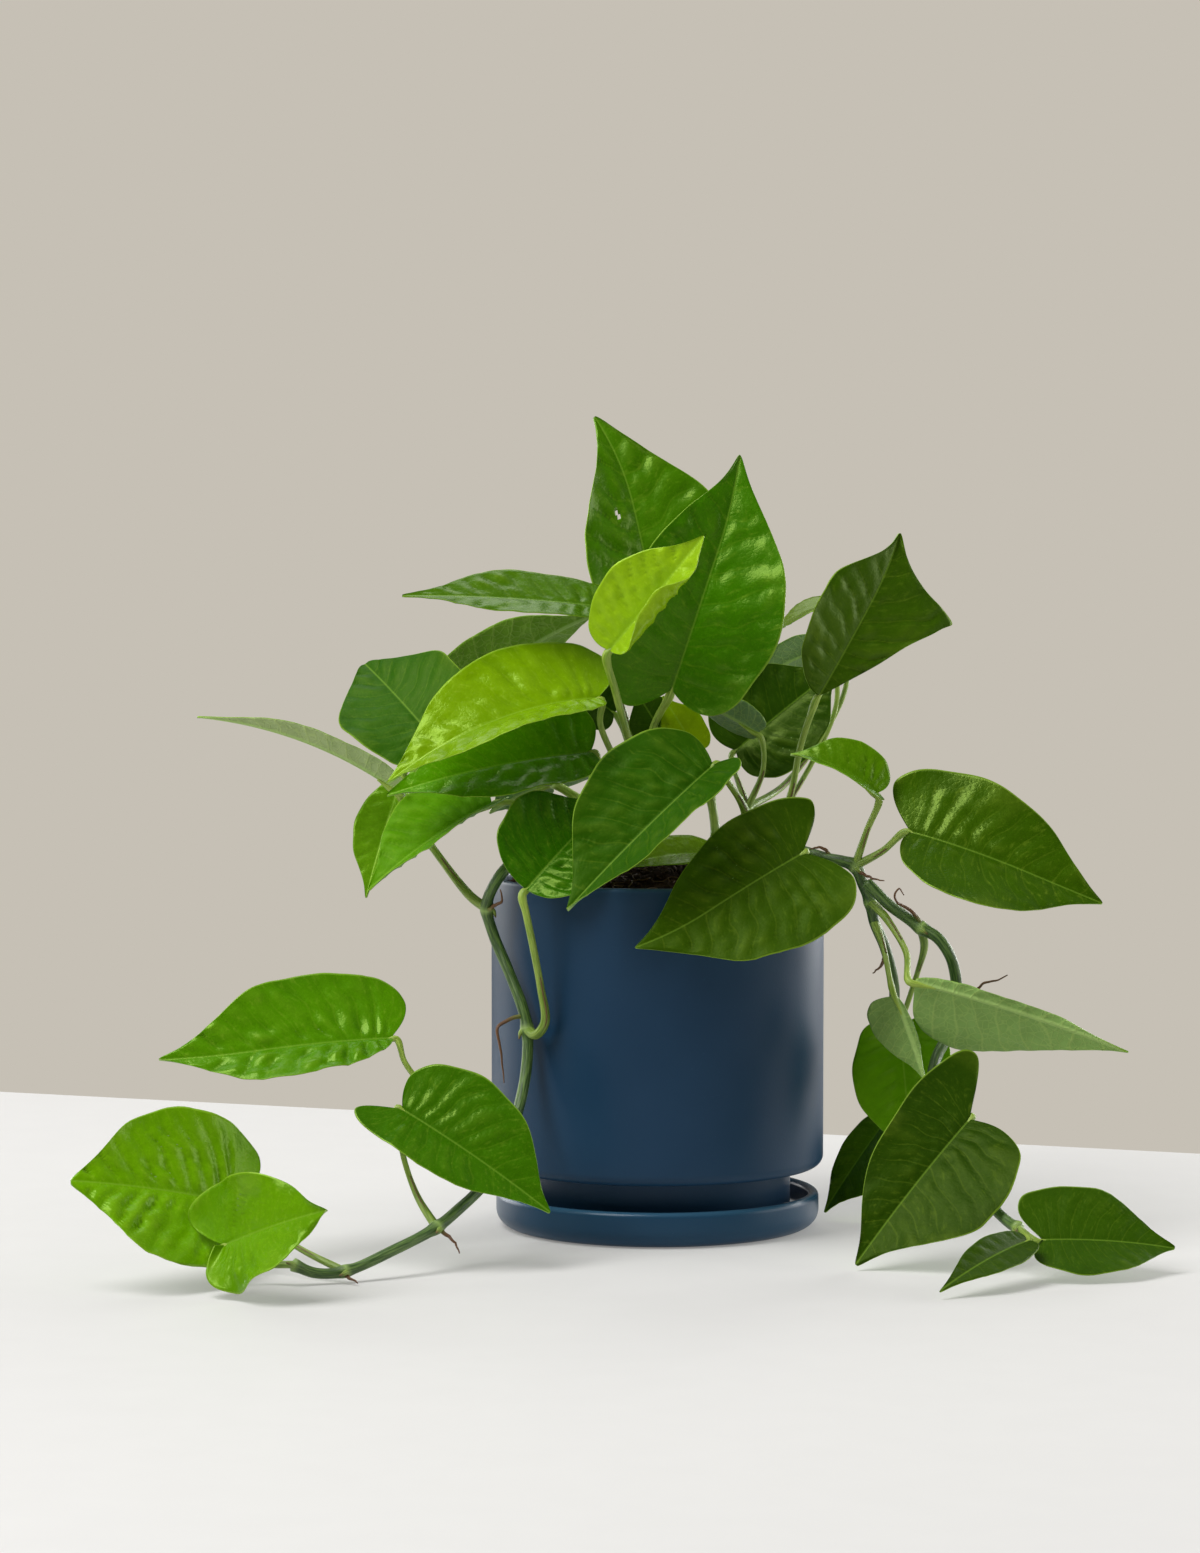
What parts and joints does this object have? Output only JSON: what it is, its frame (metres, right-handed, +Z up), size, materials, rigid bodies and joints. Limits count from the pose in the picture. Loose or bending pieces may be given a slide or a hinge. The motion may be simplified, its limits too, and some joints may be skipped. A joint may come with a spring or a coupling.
{
  "type": "potted pothos plant",
  "caption": "Trailing houseplant with glossy heart-shaped leaves in a round glazed planter that stands in its own drip saucer.",
  "frame": {"origin": "centre of the saucer's underside, on the planter's axis", "axes": "+Z up along the planter's axis, +X towards the plant's right, -Y towards its front"},
  "size_m": [0.4594, 0.2874, 0.3661],
  "materials": {
    "glazed_pot": "satin glaze, dark blue",
    "glazed_saucer": "satin glaze with a glossier lip, dark blue",
    "potting_soil": "loose dark fibrous potting mix",
    "leaf_green": "glossy upper side, matte paler underside",
    "leaf_dark": "semi-gloss deep green, matte paler underside",
    "leaf_bright": "glossy yellow-green young leaf",
    "stem_green": "satin green stems and leafstalks"
  },
  "bodies": {
    "root": {"pot": "glazed_pot", "saucer": "glazed_saucer", "soil": "potting_soil", "vine_left": "stem_green", "vine_right_inner": "stem_green", "vine_right_outer": "stem_green", "shoot_middle": "stem_green", "shoot_back_centre": "stem_green", "shoot_front": "stem_green", "shoot_front_right": "stem_green", "shoot_back_right": "stem_green", "shoot_left": "stem_green", "shoot_back_left": "stem_green", "leaf_top_back": "leaf_green", "leaf_top_front": "leaf_green", "leaf_young_folded": "leaf_bright", "leaf_left_upper": "leaf_green", "leaf_left_turned": "leaf_green", "leaf_bright": "leaf_bright", "leaf_under_bright": "leaf_green", "leaf_left_round": "leaf_dark", "leaf_left_long": "leaf_green", "leaf_left_hang": "leaf_green", "leaf_left_lower": "leaf_green", "leaf_shade_left_1": "leaf_green", "leaf_shade_left_2": "leaf_green", "leaf_front_left_low": "leaf_green", "leaf_front_centre": "leaf_green", "leaf_front_right": "leaf_dark", "leaf_right_top": "leaf_dark", "leaf_right_mid": "leaf_dark", "leaf_mid_grey": "leaf_dark", "leaf_small_bright": "leaf_bright", "leaf_dark_centre": "leaf_dark", "leaf_dark_right": "leaf_dark", "leaf_low_centre": "leaf_green", "leaf_right_small": "leaf_green", "leaf_right_big": "leaf_green", "leaf_back_right_a": "leaf_green", "leaf_back_right_b": "leaf_dark", "leaf_trail_right_long": "leaf_green", "leaf_trail_right_short": "leaf_green", "leaf_trail_right_back": "leaf_dark", "leaf_trail_right_low": "leaf_dark", "leaf_trail_right_front": "leaf_green", "leaf_ground_right_big": "leaf_green", "leaf_ground_right_small": "leaf_green", "leaf_trail_left_1": "leaf_green", "leaf_trail_left_2": "leaf_green", "leaf_trail_left_3": "leaf_green", "leaf_trail_left_4": "leaf_green"}
  },
  "joints": []
}
